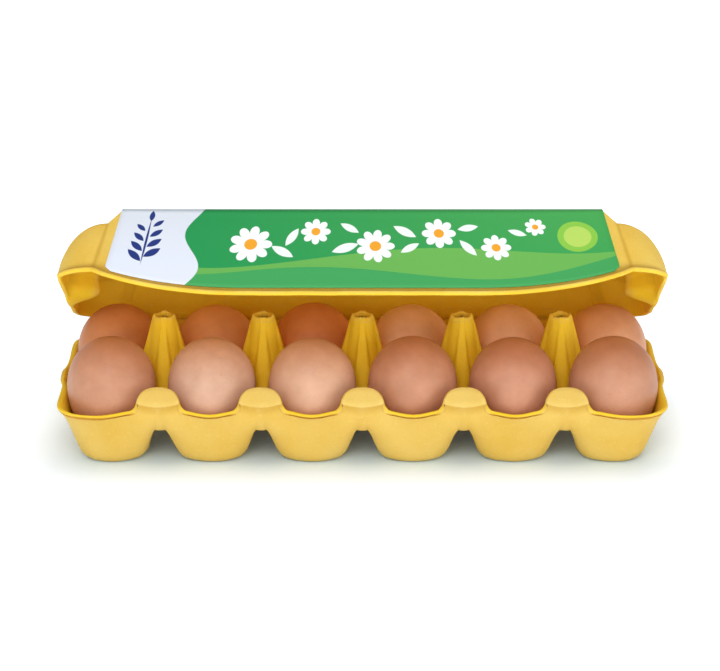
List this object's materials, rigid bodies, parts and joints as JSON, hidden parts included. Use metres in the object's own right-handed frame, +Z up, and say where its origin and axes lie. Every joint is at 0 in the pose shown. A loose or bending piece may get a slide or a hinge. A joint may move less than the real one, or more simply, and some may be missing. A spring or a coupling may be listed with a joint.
{
  "type": "egg carton with eggs",
  "caption": "Yellow moulded pulp egg carton with its hinged lid part way open, a green and white paper label on the lid, and brown eggs standing in its cups.",
  "frame": {"origin": "middle of the footprint of the whole carton with its lid part way open, on the floor under its feet", "axes": "+X along the carton, -Y towards its front where it opens, +Z up"},
  "size_m": [0.3026, 0.1132, 0.122],
  "materials": {
    "tray": "matte moulded pulp",
    "lid": "matte moulded pulp",
    "label": "glossy printed paper in white and greens",
    "egg_front_1": "satin eggshell",
    "egg_front_2": "satin eggshell",
    "egg_front_3": "satin eggshell",
    "egg_front_4": "satin eggshell",
    "egg_front_5": "satin eggshell",
    "egg_front_6": "satin eggshell",
    "egg_back_1": "satin eggshell",
    "egg_back_2": "satin eggshell",
    "egg_back_3": "satin eggshell",
    "egg_back_4": "satin eggshell",
    "egg_back_5": "satin eggshell",
    "egg_back_6": "satin eggshell"
  },
  "bodies": {
    "tray": {"tray": "tray", "egg_front_1": "egg_front_1", "egg_front_2": "egg_front_2", "egg_front_3": "egg_front_3", "egg_front_4": "egg_front_4", "egg_front_5": "egg_front_5", "egg_front_6": "egg_front_6", "egg_back_1": "egg_back_1", "egg_back_2": "egg_back_2", "egg_back_3": "egg_back_3", "egg_back_4": "egg_back_4", "egg_back_5": "egg_back_5", "egg_back_6": "egg_back_6"},
    "lid": {"lid": "lid", "label": "label"}
  },
  "joints": [
    {"name": "lid_hinge", "type": "hinge", "parent": "tray", "child": "lid", "pos_m": [0, 0.04786, 0.042], "axis": [-1, 0, 0], "range_deg": [-36, 144]}
  ]
}
